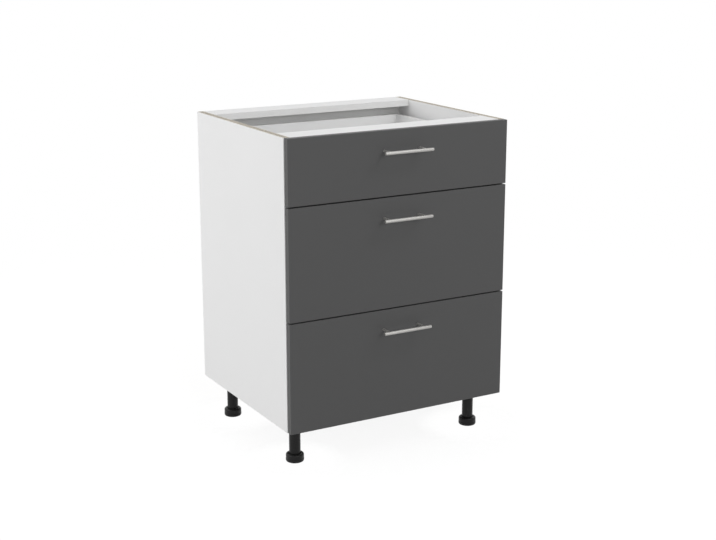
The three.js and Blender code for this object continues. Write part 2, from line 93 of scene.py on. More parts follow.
class Hand(Enum):
    """Left or right half of the cabinet; the value is the sign of x there."""

    LEFT = -1
    RIGHT = 1

    @property
    def label(self) -> str:
        """Name as the CAD nodes write it."""
        return self.name.lower()

    def outer(self, node: str) -> float:
        """x of a CAD node's face that looks away from the cabinet's middle."""
        low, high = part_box(node)
        return high.x if self is Hand.RIGHT else low.x


class Row(Enum):
    """Front or back pair of legs."""

    FRONT = "front"
    BACK = "back"


class Tier(Enum):
    """Drawer by its height in the cabinet."""

    TOP = "top"
    MIDDLE = "middle"
    BOTTOM = "bottom"


class Axis(Enum):
    """Axis of the CAD frame by its index."""

    X = 0
    Y = 1
    Z = 2

    @property
    def unit(self) -> Vector:
        """Unit vector along the axis."""
        return Vector([float(i == self.value) for i in range(3)])


class Facing(Enum):
    """Side that a face of a board looks to: the axis index and the sign."""

    LEFT = (0, -1)
    RIGHT = (0, 1)
    FRONT = (1, -1)
    BACK = (1, 1)
    UNDER = (2, -1)
    TOP = (2, 1)

    def end(self, low: Vector, high: Vector) -> float:
        """Where this side of a box lies on its axis."""
        axis, sign = self.value
        return (high if sign > 0 else low)[axis]


class Skin(Enum):
    """What covers a face of a board; the value is the face's material index."""

    DECOR = 0
    BAND = 1
    SAWN = 2


# ---- shader writing


class Signal:
    """Output socket of a shader node that takes part in Python sums."""

    def __init__(self, tree: "ShaderTree", socket: bpy.types.NodeSocket) -> None:
        """Keeps the socket and the tree that it belongs to."""
        self.tree, self.socket = tree, socket

    def __add__(self, other: "Signal | float") -> "Signal":
        """Sum."""
        return self.tree.math("ADD", self, other)

    def __radd__(self, other: float) -> "Signal":
        """Reflected sum."""
        return self.tree.math("ADD", other, self)

    def __sub__(self, other: "Signal | float") -> "Signal":
        """Difference."""
        return self.tree.math("SUBTRACT", self, other)

    def __rsub__(self, other: float) -> "Signal":
        """Reflected difference."""
        return self.tree.math("SUBTRACT", other, self)

    def __mul__(self, other: "Signal | float") -> "Signal":
        """Product."""
        return self.tree.math("MULTIPLY", self, other)

    def __rmul__(self, other: float) -> "Signal":
        """Reflected product."""
        return self.tree.math("MULTIPLY", other, self)

    def __abs__(self) -> "Signal":
        """Absolute value."""
        return self.tree.math("ABSOLUTE", self)


class ShaderTree:
    """Node tree of a material or a world, built node by node."""

    def __init__(self, owner: bpy.types.Material | bpy.types.World) -> None:
        """Starts an empty tree.

        Args:
            owner: the material or world that gets the nodes.
        """
        owner.use_nodes = True
        self.owner, self.nodes, self.links = owner, owner.node_tree.nodes, owner.node_tree.links
        self.nodes.clear()

    def node(
        self,
        kind: str,
        settings: Mapping[str, Any] | None = None,
        inputs: Mapping[int | str, Any] | None = None,
        output: int | str = 0,
    ) -> Signal:
        """Adds one node.

        Args:
            kind: node type, such as "ShaderNodeTexNoise".
            settings: the node's own properties, set first; "stops" are a ramp's
                (position, colour) pairs.
            inputs: value or Signal of each input socket, by name or index.
            output: the output socket to return.

        Returns:
            The chosen output.
        """
        made = self.nodes.new(kind)
        for key, value in (settings or {}).items():
            if key == "stops":
                self.set_stops(made.color_ramp, value)
            else:
                setattr(made, key, value)
        for key, value in (inputs or {}).items():
            if isinstance(value, Signal):
                self.links.new(value.socket, made.inputs[key])
            else:
                made.inputs[key].default_value = value
        return Signal(self, made.outputs[output] if len(made.outputs) else None)

    @staticmethod
    def set_stops(ramp: bpy.types.ColorRamp, stops: Sequence[tuple[float, Triple]]) -> None:
        """Gives a colour ramp its stops.

        Args:
            ramp: the ramp to fill.
            stops: (position, colour) pairs from 0 to 1.
        """
        while len(ramp.elements) < len(stops):
            ramp.elements.new(0.5)
        for element, (position, color) in zip(ramp.elements, stops):
            element.position, element.color = position, (*color, 1.0)

    def math(self, operation: str, *values: Signal | float) -> Signal:
        """Math node on one or two values."""
        return self.node("ShaderNodeMath", {"operation": operation}, dict(enumerate(values)))

    def place(self) -> Signal:
        """Object coordinates, in metres."""
        return self.node("ShaderNodeTexCoord", output="Object")

    def along(self, axis: Axis) -> Signal:
        """One object coordinate."""
        return self.node("ShaderNodeSeparateXYZ", None, {0: self.place()}, axis.value)

    def scaled(self, scale: Sequence[float]) -> Signal:
        """Object coordinates times a scale for each axis."""
        return self.node("ShaderNodeMapping", None, {"Vector": self.place(), "Scale": scale})

    def noise(self, size: float, stretch: Triple = (1, 1, 1), detail: float = 2) -> Signal:
        """Cloudy pattern from 0 to 1.

        Args:
            size: width of a feature in metres.
            stretch: how many times longer the features are along each axis.
            detail: octaves of finer features.

        Returns:
            The pattern's value.
        """
        scale = [1 / (size * longer) for longer in stretch]
        inputs = {"Vector": self.scaled(scale), "Scale": 1.0, "Detail": detail}
        return self.node("ShaderNodeTexNoise", None, inputs)

    def fade(self, value: Signal, start: float, end: float) -> Signal:
        """Smooth step from 0 at start to 1 at end."""
        inputs = {"Value": value, "From Min": start, "From Max": end}
        return self.node("ShaderNodeMapRange", {"interpolation_type": "SMOOTHSTEP"}, inputs)

    def ramp(self, value: Signal, stops: Sequence[tuple[float, Triple]]) -> Signal:
        """Colour that a value picks from (position, colour) stops."""
        return self.node("ShaderNodeValToRGB", {"stops": stops}, {0: value})

    def mix(self, share: Signal, first: Signal | Triple, second: Signal | Triple) -> Signal:
        """Colour between two others.

        Args:
            share: 0 for the first colour, 1 for the second.
            first: colour or Signal.
            second: colour or Signal.

        Returns:
            The mixed colour.
        """
        ends = [c if isinstance(c, Signal) else (*c, 1.0) for c in (first, second)]
        inputs = {0: share, 6: ends[0], 7: ends[1]}
        return self.node("ShaderNodeMix", {"data_type": "RGBA"}, inputs, 2)

    def bump(self, height: Signal, relief: float) -> Signal:
        """Normal of a surface whose height runs from 0 to relief metres."""
        return self.node("ShaderNodeBump", None, {"Distance": relief, "Height": height})

    def rays(self, *kinds: str) -> Signal:
        """Mask of some kinds of rays.

        Args:
            kinds: their Light Path outputs, such as "Is Camera Ray".

        Returns:
            1 for rays of these kinds and 0 for others.
        """
        total, *others = [self.node("ShaderNodeLightPath", output=kind) for kind in kinds]
        for other in others:
            total = self.math("MAXIMUM", total, other)
        return total

    def surface(self, shader: Signal, output: str = "ShaderNodeOutputMaterial") -> None:
        """Ends the tree with its output node."""
        self.node(output, None, {"Surface": shader})


# ---- finishes


def shade(color: Triple, factor: float) -> Triple:
    """Colour times a factor."""
    return tuple(channel * factor for channel in color)


@dataclass(frozen=True)
class Finish:
    """Look of one kind of surface.

    Attributes:
        name: name of the material.
        color: base colour, linear.
        roughness: mean roughness.
    """

    name: str
    color: Triple
    roughness: float

    def layers(self, tree: ShaderTree) -> dict[str, Any]:
        """Inputs of the surface shader; each kind of finish has its own."""
        raise NotImplementedError

    def material(self) -> bpy.types.Material:
        """Material of this finish, made on first use.

        Returns:
            The material.
        """
        found = bpy.data.materials.get(self.name)
        if found is None:
            found = bpy.data.materials.new(self.name)
            tree = ShaderTree(found)
            tree.surface(tree.node("ShaderNodeBsdfPrincipled", None, self.layers(tree)))
        return found


@dataclass(frozen=True)
class Decor(Finish):
    """Pressed decor film or edge band with a fine pearl grain.

    Attributes:
        grain: width of a grain.
        relief: height of the grain.
        cloud: share by which the tone drifts over the board.
        gloss: specular level.
        drift: width over which the tone drifts.
    """

    grain: float = 0.8 * MM
    relief: float = 0.02 * MM
    cloud: float = 0.025
    gloss: float = 0.5
    drift: float = 180 * MM

    def layers(self, tree: ShaderTree) -> dict[str, Any]:
        """Even colour, slow drift in tone and gloss, pearl grain.

        Args:
            tree: the material's node tree.

        Returns:
            Inputs of the surface shader.
        """
        drift = tree.noise(self.drift)
        pearl = tree.noise(self.grain, detail=3)
        return {
            "Base Color": tree.mix(drift, shade(self.color, 1 - self.cloud), self.color),
            "Roughness": self.roughness + 0.1 * (drift - 0.5) + 0.12 * (pearl - 0.5),
            "Specular IOR Level": self.gloss,
            "Normal": tree.bump(pearl, self.relief),
        }


@dataclass(frozen=True)
class Chipboard(Finish):
    """Sawn edge of chipboard: coarse chips in the core, fine ones near the faces.

    Attributes:
        across: axis across the board's thickness.
        middle: distance of the board's middle from the origin on that axis.
        core: half the thickness of the coarse core.
        chip: length and thickness of a chip.
        fine: size of the fine chips.
        tones: pale chips, dark chips and gaps against the colour.
        relief: height of the chips.
    """

    across: Axis
    middle: float
    core: float
    chip: Pair = (4.5 * MM, 1.1 * MM)
    fine: float = 0.7 * MM
    tones: Triple = (1.22, 0.62, 0.34)
    relief: float = 0.15 * MM

    def layers(self, tree: ShaderTree) -> dict[str, Any]:
        """Chips of different tones with dark gaps between them.

        Args:
            tree: the material's node tree.

        Returns:
            Inputs of the surface shader.
        """
        length, thickness = self.chip
        scale = [1 / (thickness if axis is self.across else length) for axis in Axis]
        where = {"Vector": tree.scaled(scale), "Scale": 1.0}
        cell = tree.node("ShaderNodeTexVoronoi", None, where, "Color")
        tone = tree.node("ShaderNodeSeparateColor", None, {0: cell})
        edge = tree.node("ShaderNodeTexVoronoi", {"feature": "DISTANCE_TO_EDGE"}, where)
        fine = tree.noise(self.fine, detail=4)
        depth = abs(abs(tree.along(self.across)) - self.middle)
        skin = tree.fade(depth, self.core, self.core + 1 * MM)
        gap = (1 - tree.fade(edge, 0.0, 0.12)) * (1 - skin)
        chips = tone * (1 - skin) + fine * skin
        pale, dark, deep = (shade(self.color, factor) for factor in self.tones)
        grain = tree.ramp(chips, [(0.0, dark), (0.35, self.color), (0.75, pale), (1.0, self.color)])
        return {
            "Base Color": tree.mix(gap, grain, deep),
            "Roughness": self.roughness + 0.1 * (fine - 0.5),
            "Specular IOR Level": 0.25,
            "Normal": tree.bump(fine * 0.4 + chips * 0.3 - gap, self.relief),
        }


@dataclass(frozen=True)
class Fibreboard(Finish):
    """Bare hardboard: pressed fibres with darker flecks.

    Attributes:
        fibre: size of a clump of fibres.
        fleck: width of a fleck.
        drift: width over which the tone drifts.
        relief: height of the felted surface.
    """

    fibre: float = 1.4 * MM
    fleck: float = 3.2 * MM
    drift: float = 90 * MM
    relief: float = 0.05 * MM

    def layers(self, tree: ShaderTree) -> dict[str, Any]:
        """Fibre tones, flecks and a felted surface.

        Args:
            tree: the material's node tree.

        Returns:
            Inputs of the surface shader.
        """
        fibre = tree.noise(self.fibre, detail=6)
        fleck = tree.fade(tree.noise(self.fleck, (1.8, 1, 1), 3), 0.6, 0.72)
        drift = tree.noise(self.drift)
        stops = [(0.3, shade(self.color, 0.72)), (0.55, self.color), (0.75, shade(self.color, 1.3))]
        tone = tree.ramp(0.75 * fibre + 0.25 * drift, stops)
        return {
            "Base Color": tree.mix(fleck * 0.6, tone, shade(self.color, 0.5)),
            "Roughness": self.roughness + 0.15 * (fibre - 0.5),
            "Specular IOR Level": 0.3,
            "Normal": tree.bump(fibre, self.relief),
        }


@dataclass(frozen=True)
class PowderCoat(Finish):
    """Baked powder coat on sheet steel, with its orange-peel surface.

    Attributes:
        peel: width of a dimple.
        scuff: width of a scuff.
        relief: height of the dimples.
    """

    peel: float = 1.8 * MM
    scuff: float = 0.5 * MM
    relief: float = 0.04 * MM

    def layers(self, tree: ShaderTree) -> dict[str, Any]:
        """Orange peel with fine scuffs along the direction of travel.

        Args:
            tree: the material's node tree.

        Returns:
            Inputs of the surface shader.
        """
        peel = tree.noise(self.peel, detail=1)
        scuff = tree.fade(tree.noise(self.scuff, (1, 60, 1), 2), 0.56, 0.7)
        return {
            "Base Color": tree.mix(scuff * 0.35, self.color, shade(self.color, 0.8)),
            "Roughness": self.roughness + 0.15 * scuff + 0.08 * (peel - 0.5),
            "Normal": tree.bump(peel, self.relief),
        }


@dataclass(frozen=True)
class Plastic(Finish):
    """Moulded plastic with a spark-eroded grain; a roller's tread is scuffed.

    Attributes:
        grain: width of the mould's grain.
        scuff: share by which the tread is darker.
        gloss: specular level.
        relief: height of the grain.
    """

    grain: float = 0.6 * MM
    scuff: float = 0.0
    gloss: float = 0.5
    relief: float = 0.03 * MM

    def layers(self, tree: ShaderTree) -> dict[str, Any]:
        """Mould grain, flow marks and the tread's scuffs.

        Args:
            tree: the material's node tree.

        Returns:
            Inputs of the surface shader.
        """
        grain = tree.noise(self.grain, detail=3)
        flow = tree.noise(14 * MM, (1, 1, 2.5), 1)
        tone = tree.mix(flow, shade(self.color, 0.9), shade(self.color, 1.1))
        layers = {
            "Roughness": self.roughness + 0.14 * (grain - 0.5) + 0.12 * (flow - 0.5),
            "Specular IOR Level": self.gloss,
            "Normal": tree.bump(grain, self.relief),
        }
        if self.scuff:
            tread = tree.node("ShaderNodeAttribute", {"attribute_name": TREAD}, output="Fac")
            marks = tree.noise(0.9 * MM, (1, 6, 1), 2)
            tone = tree.mix(tread * marks, tone, shade(self.color, 1 - self.scuff))
        return {"Base Color": tone, **layers}


@dataclass(frozen=True)
class Metal(Finish):
    """Bare metal, brushed in long fine strokes or blasted.

    Attributes:
        stroke: length of a brush stroke against its width, along X.
        width: width of a stroke.
        contrast: how far strokes change tone and roughness.
        relief: depth of the strokes.
    """

    stroke: float = 90.0
    width: float = 0.16 * MM
    contrast: float = 0.25
    relief: float = 0.008 * MM

    def layers(self, tree: ShaderTree) -> dict[str, Any]:
        """Strokes in tone, roughness and relief.

        Args:
            tree: the material's node tree.

        Returns:
            Inputs of the surface shader.
        """
        strokes = tree.noise(self.width, (self.stroke, 1, 1), 3)
        return {
            "Base Color": tree.mix(strokes, shade(self.color, 1 - self.contrast), self.color),
            "Metallic": 1.0,
            "Roughness": self.roughness + self.contrast * (strokes - 0.5),
            "Normal": tree.bump(strokes, self.relief),
        }


CHIP_COLOR = (0.56, 0.515, 0.44)
WHITE_DECOR = Decor("white_decor", (0.8, 0.8, 0.8), 0.45)
WHITE_BAND = Decor("white_edge_band", (0.79, 0.79, 0.785), 0.36, 2.4 * MM, 0.015 * MM, 0.01)
WHITE_LACQUER = Decor("white_lacquer", (0.77, 0.77, 0.762), 0.55, 1.6 * MM, 0.03 * MM, 0.03)
DARK_DECOR = Decor(
    "anthracite_decor", (0.084, 0.084, 0.0845), 0.5, 0.7 * MM, 0.03 * MM, 0.05, gloss=0.25
)
BARE_FIBRE = Fibreboard("bare_fibreboard", (0.3, 0.19, 0.105), 0.72)
RUNNER_COAT = PowderCoat("runner_powder_coat", (0.78, 0.78, 0.76), 0.4)
ROLLER_NYLON = Plastic("roller_nylon", (0.68, 0.65, 0.58), 0.38, 0.5 * MM, 0.35)
BLACK_PLASTIC = Plastic("black_moulded_plastic", (0.01, 0.01, 0.01), 0.38, gloss=0.18)
CLEAR_PAD = Plastic("buffer_pad", (0.72, 0.73, 0.74), 0.3)
SATIN_STEEL = Metal("satin_steel_bar", (0.47, 0.463, 0.448), 0.58, contrast=0.3)
ZINC = Metal("zinc_plating", (0.62, 0.63, 0.64), 0.34, 1.0, 0.5 * MM, 0.3)


# ---- mesh shaping


def upright(foot: Vector, axis: Vector) -> Matrix:
    """Placement that puts the origin on foot and turns +Z along axis."""
    return Matrix.Translation(foot) @ UP.rotation_difference(axis).to_matrix().to_4x4()


class Shape:
    """Closed mesh under construction, placed in the CAD frame."""

    def __init__(self) -> None:
        """Starts with an empty mesh."""
        self.mesh = bmesh.new()

    @classmethod
    def block(cls, low: Vector, high: Vector) -> "Shape":
        """Block between two opposite corners.

        Args:
            low: lowest corner.
            high: highest corner.

        Returns:
            The closed block.
        """
        shape = cls()
        matrix = Matrix.Translation((low + high) / 2) @ Matrix.Diagonal((*(high - low), 1))
        bmesh.ops.create_cube(shape.mesh, size=1, matrix=matrix)
        return shape

    @classmethod
    def swept(cls, outline: Iterable[Vector], run: Vector) -> "Shape":
        """Straight piece: a flat outline swept along a run.

        Args:
            outline: corners of the outline, in order.
            run: how far and which way the outline travels.

        Returns:
            The closed piece.
        """
        shape = cls()
        face = shape.mesh.faces.new([shape.mesh.verts.new(point) for point in outline])
        swept = bmesh.ops.extrude_face_region(shape.mesh, geom=[face])["geom"]
        moved = [item for item in swept if isinstance(item, bmesh.types.BMVert)]
        bmesh.ops.translate(shape.mesh, vec=run, verts=moved)
        return shape.outwards()

    @classmethod
    def turned(
        cls, profile: Sequence[Pair], foot: Vector, axis: Vector, steps: int = 48
    ) -> "Shape":
        """Turned piece.

        Args:
            profile: (radius, height) points, which end on the axis or where they began.
            foot: point on the axis at height 0.
            axis: direction in which the height grows.
            steps: facets around the piece.

        Returns:
            The closed piece.
        """
        shape = cls()
        points = [shape.mesh.verts.new((radius, 0, height)) for radius, height in profile]
        lines = [shape.mesh.edges.new(pair) for pair in zip(points, points[1:])]
        bmesh.ops.spin(
            shape.mesh, geom=points + lines, cent=(0, 0, 0), axis=UP,
            angle=math.tau, steps=steps, use_merge=True,
        )
        bmesh.ops.remove_doubles(shape.mesh, verts=shape.mesh.verts, dist=MERGED)
        bmesh.ops.transform(shape.mesh, matrix=upright(foot, axis), verts=shape.mesh.verts)
        return shape.outwards()

    def outwards(self) -> "Shape":
        """Turns all faces outwards."""
        bmesh.ops.recalc_face_normals(self.mesh, faces=self.mesh.faces)
        return self

    def eased(
        self,
        radius: float,
        segments: int = 2,
        pick: Callable[[bmesh.types.BMEdge], bool] = lambda edge: True,
    ) -> "Shape":
        """Rounds outer edges.

        Args:
            radius: width of the rounding.
            segments: facets across the rounding.
            pick: which of the outer edges to round.

        Returns:
            This shape.
        """
        edges = [
            edge for edge in self.mesh.edges
            if edge.is_manifold and edge.calc_face_angle_signed() > ROUNDED and pick(edge)
        ]
        bmesh.ops.bevel(
            self.mesh, geom=edges, offset=radius, affect="EDGES", segments=segments,
            profile=0.5, material=-1, clamp_overlap=True,
        )
        return self

    def painted(self, rule: Callable[[bmesh.types.BMFace], Skin]) -> "Shape":
        """Gives each face its material.

        Args:
            rule: says what covers a face.

        Returns:
            This shape.
        """
        self.mesh.normal_update()
        for face in self.mesh.faces:
            face.material_index = rule(face).value
        return self

    def marked(self, name: str, rule: Callable[[Vector], float]) -> "Shape":
        """Writes a value to each vertex, for a material to read.

        Args:
            name: the attribute's name.
            rule: gives the value at a point.

        Returns:
            This shape.
        """
        layer = self.mesh.verts.layers.float.new(name)
        for vertex in self.mesh.verts:
            vertex[layer] = rule(vertex.co)
        return self

    def with_shapes(self, others: Iterable["Shape"]) -> "Shape":
        """Takes other shapes in as loose parts of the same mesh.

        Args:
            others: the shapes to take in.

        Returns:
            This shape.
        """
        for other in others:
            loose = bpy.data.meshes.new("loose")
            other.mesh.to_mesh(loose)
            self.mesh.from_mesh(loose)
            bpy.data.meshes.remove(loose)
        return self

    def fused(self, others: Iterable["Shape"]) -> "Shape":
        """Unites this shape with others that it crosses into one closed skin.

        Args:
            others: shapes that cross this one.

        Returns:
            This shape.
        """
        scene = bpy.context.scene.collection.objects
        for other in others:
            pair = []
            for shape in (self, other):
                mesh = bpy.data.meshes.new("fusing")
                shape.mesh.to_mesh(mesh)
                pair.append(bpy.data.objects.new("fusing", mesh))
                scene.link(pair[-1])
            union = pair[0].modifiers.new("union", "BOOLEAN")
            union.operation, union.solver, union.object = "UNION", "EXACT", pair[1]
            depsgraph = bpy.context.evaluated_depsgraph_get()
            result = bpy.data.meshes.new_from_object(pair[0].evaluated_get(depsgraph))
            self.mesh.clear()
            self.mesh.from_mesh(result)
            for mesh in (pair[0].data, pair[1].data, result):
                bpy.data.meshes.remove(mesh)  # takes its object with it
        return self

    def piece(
        self,
        name: str,
        body: str,
        finishes: Sequence[Finish],
        slot: str | None = None,
        stands_for: Sequence[str] = (),
        flat: bool = False,
    ) -> bpy.types.Object:
        """Ends the shape as an object that rides on a CAD body.

        Args:
            name: the piece's name.
            body: CAD body that carries it.
            finishes: one finish for each material index.
            slot: the record's material slot, if one names this finish; not used.
            stands_for: CAD nodes that the piece replaces.
            flat: True keeps large flat faces flat next to rounded edges.

        Returns:
            The piece's object.
        """
        mesh = bpy.data.meshes.new(name)
        self.outwards().mesh.to_mesh(mesh)
        self.mesh.free()
        for finish in finishes:
            mesh.materials.append(finish.material())
        mesh.shade_smooth()
        mesh.set_sharp_from_angle(angle=CREASE)
        made = bpy.data.objects.new(name, mesh)
        bpy.context.scene.collection.objects.link(made)
        if flat:
            weighted = made.modifiers.new("flat_faces", "WEIGHTED_NORMAL")
            weighted.keep_sharp = True
        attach(made, body)
        if stands_for:
            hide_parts(*stands_for)
        LOG.info("%s: %d faces on %s", name, len(mesh.polygons), body)
        return made


def dress(node: str, finish: Finish) -> None:
    """Gives a CAD node that stays a better material.

    Args:
        node: the CAD node.
        finish: the finish of its whole surface.
    """
    for slot in frame["nodes"][node].material_slots:
        slot.material = finish.material()
    LOG.info("%s: CAD node in %s", node, finish.name)


# ---- screw heads and cam fittings


@dataclass(frozen=True)
class CrossHead:
    """Round head with a cross recess: a screw's head or a cam fitting's face.

    It starts as a square grid of five cells a side, whose middle five are the cross.

    Attributes:
        radius: radius of the head.
        height: height above its seat.
        crown: radius of the flat crown against the head's.
        arm: half the length of the cross against the crown.
        slot: half the width of the cross against the crown.
        depth: depth of the cross against the height.
        edge: height of the head's edge against the height.
        taper: size of the cross at its floor against its opening.
        cells: cells on a side of the grid.
    """

    radius: float
    height: float
    crown: float = 0.72
    arm: float = 0.72
    slot: float = 0.17
    depth: float = 0.75
    edge: float = 0.45
    taper: float = 0.75
    cells: int = 5

    def on_crown(self, x: float, y: float) -> Triple:
        """Moves a point of the grid to its place on the crown.

        Args:
            x: the point's place across the grid, from -1 to 1.
            y: its place the other way.

        Returns:
            A point on the crown's circle for the grid's rim, or else on the cross's lines.
        """
        cell = 2 / self.cells
        if max(abs(x), abs(y)) > 1 - cell / 2:
            flank = abs(x) >= abs(y)
            angle = math.pi / 4 * (y if flank else x)
            near, far = math.sin(angle), math.cos(angle)
            x, y = (math.copysign(far, x), near) if flank else (near, math.copysign(far, y))
        else:
            lines = (-1, -self.arm, -self.slot, self.slot, self.arm, 1)
            x, y = (lines[round((place + 1) / cell)] for place in (x, y))
        crown = self.radius * self.crown
        return x * crown, y * crown, self.height

    def in_cross(self, face: bmesh.types.BMFace) -> bool:
        """Whether a cell of the grid is in the middle or next to it."""
        x, y = (abs(place) * self.cells / 2 for place in face.calc_center_median().xy)
        return min(x, y) < 0.5 and max(x, y) < 1.5

    def shape(self, seat: Vector, out: Vector) -> Shape:
        """Head on its seat.

        Args:
            seat: middle of the head's underside.
            out: direction that the cross faces.

        Returns:
            The closed head.
        """
        shape = Shape()
        mesh = shape.mesh
        bmesh.ops.create_grid(mesh, x_segments=self.cells, y_segments=self.cells, size=1)
        recess = [face for face in mesh.faces if self.in_cross(face)]
        for vertex in mesh.verts:
            vertex.co = self.on_crown(*vertex.co.xy)
        rim = [edge for edge in mesh.edges if edge.is_boundary]
        for height in (self.edge, 0):
            grown = bmesh.ops.extrude_edge_only(mesh, edges=rim)["geom"]
            rim = [item for item in grown if isinstance(item, bmesh.types.BMEdge)]
            for vertex in {v for edge in rim for v in edge.verts}:
                flat = vertex.co.xy.normalized() * self.radius
                vertex.co = (*flat, height * self.height)
        bmesh.ops.holes_fill(mesh, edges=rim, sides=0)
        sunk = bmesh.ops.extrude_face_region(mesh, geom=recess)["geom"]
        bmesh.ops.delete(mesh, geom=recess, context="FACES")
        floor = [item for item in sunk if isinstance(item, bmesh.types.BMVert)]
        bmesh.ops.scale(mesh, vec=(self.taper, self.taper, 1), verts=floor)
        bmesh.ops.translate(mesh, vec=(0, 0, -self.depth * self.height), verts=floor)
        bmesh.ops.transform(mesh, matrix=upright(seat, out), verts=mesh.verts)
        return shape.outwards()

    def row(self, name: str, body: str, seats: Iterable[Seat]) -> bpy.types.Object:
        """Piece of several such heads, each on its (seat, out)."""
        heads = [self.shape(seat, out) for seat, out in seats]
        return heads[0].with_shapes(heads[1:]).piece(name, body, [ZINC])


RUNNER_SCREW = CrossHead(3.7 * MM, 0.9 * MM)
WOOD_SCREW = CrossHead(3.2 * MM, 0.7 * MM)
HANDLE_SCREW = CrossHead(4 * MM, 2.4 * MM)
SOCKET_SCREW = CrossHead(3.6 * MM, 1.6 * MM)
CAM = CrossHead(7.4 * MM, 0.35 * MM, 0.9, 0.5, 0.14, 0.9)


# ---- boards and sheets


@dataclass(frozen=True)
class Groove:
    """Slot along a board for a thin sheet.

    Attributes:
        walls: its two walls on the board's width axis, in the CAD frame.
        depth: depth from the board's face.
        opens: sign of the across axis on the face that it opens in.
    """

    walls: Pair
    depth: float
    opens: int


@dataclass(frozen=True)
class Board:
    """Panel of laminated chipboard that stands for a CAD node.

    Attributes:
        name: the piece's name.
        node: CAD node that gives its box.
        body: CAD body that carries it.
        run: axis that the groove follows.
        across: axis across the board's thickness.
        banded: edges that carry an edge band; the others are sawn.
        groove: slot for a sheet, if it has one.
        ease: radius of the outer edges.
        skin: thickness of the fine chip layer under the decor.
        butts: ends that meet another board, whose edges stay sharp.
        sunk: a face whose middle is further in than this is a groove's.
    """

    name: str
    node: str
    body: str
    run: Axis
    across: Axis
    banded: frozenset[Facing]
    groove: Groove | None = None
    ease: float = 0.35 * MM
    skin: float = 3.2 * MM
    butts: frozenset[Facing] = frozenset()
    sunk: float = 1.2 * MM

    def outline(self, low: Vector, high: Vector) -> list[Vector]:
        """Corners of the board's section at its low end.

        Args:
            low: lowest corner of the board.
            high: highest corner of the board.

        Returns:
            The section's corners in order.
        """
        width = next(axis for axis in Axis if axis not in (self.run, self.across)).value
        across = self.across.value
        w0, w1 = low[width], high[width]
        near, far = low[across], high[across]
        if self.groove and self.groove.opens < 0:
            near, far = far, near
        flat = [(w0, near), (w1, near), (w1, far), (w0, far)]
        if self.groove:
            g0, g1 = self.groove.walls
            floor = far - self.groove.opens * self.groove.depth
            flat[3:3] = [(g1, far), (g1, floor), (g0, floor), (g0, far)]
        corners = []
        for w, a in flat:
            corner = low.copy()
            corner[width], corner[across] = w, a
            corners.append(corner)
        return corners

    def build(self) -> bpy.types.Object:
        """Makes the board with its decor faces, bands and sawn edges.

        Returns:
            The piece's object.
        """
        low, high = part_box(self.node)
        ends = [(facing.value[0], facing.end(low, high)) for facing in self.butts]

        def covering(face: bmesh.types.BMFace) -> Skin:
            """Decor on the two wide faces, bands where named, sawn chipboard elsewhere.

            Args:
                face: face of the board.

            Returns:
                What covers it.
            """
            axis = max(range(3), key=lambda i: abs(face.normal[i]))
            facing = Facing((axis, 1 if face.normal[axis] > 0 else -1))
            if abs(face.calc_center_median()[axis] - facing.end(low, high)) > self.sunk:
                return Skin.SAWN
            if axis == self.across.value:
                return Skin.DECOR
            return Skin.BAND if facing in self.banded else Skin.SAWN

        def free(edge: bmesh.types.BMEdge) -> bool:
            """False for the edges of an end that meets another board."""
            points = [vertex.co for vertex in edge.verts]
            return not any(all(abs(p[axis] - end) < TOUCH for p in points) for axis, end in ends)

        length = high[self.run.value] - low[self.run.value]
        shape = Shape.swept(self.outline(low, high), self.run.unit * length)
        middle = abs(low[self.across.value] + high[self.across.value]) / 2
        half = (high[self.across.value] - low[self.across.value]) / 2
        core = Chipboard(
            f"chipboard_{self.across.name.lower()}{middle / MM:.0f}",
            CHIP_COLOR, 0.8, self.across, middle, half - self.skin,
        )
        return shape.eased(self.ease, pick=free).painted(covering).piece(
            self.name, self.body, [WHITE_DECOR, WHITE_BAND, core], "white_board", [self.node], True,
        )


BETWEEN_SIDES = frozenset({Facing.LEFT, Facing.RIGHT})


@dataclass(frozen=True)
class Sheet:
    """Thin hardboard sheet, lacquered white on one face and bare on the other.

    Attributes:
        name: the piece's name.
        node: CAD node that gives its box.
        body: CAD body that carries it.
        lacquered: the face that is lacquered.
        ease: width of its broken edges.
    """

    name: str
    node: str
    body: str
    lacquered: Facing
    ease: float = 0.2 * MM

    def build(self) -> bpy.types.Object:
        """Makes the sheet.

        Returns:
            The piece's object.
        """
        axis, sign = self.lacquered.value

        def covering(face: bmesh.types.BMFace) -> Skin:
            """Lacquer on one face, bare board elsewhere."""
            return Skin.DECOR if face.normal[axis] * sign > ALIGNED else Skin.BAND

        shape = Shape.block(*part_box(self.node)).eased(self.ease, 1)
        return shape.painted(covering).piece(
            self.name, self.body, [WHITE_LACQUER, BARE_FIBRE], "white_hardboard", [self.node], True,
        )


# ---- carcass


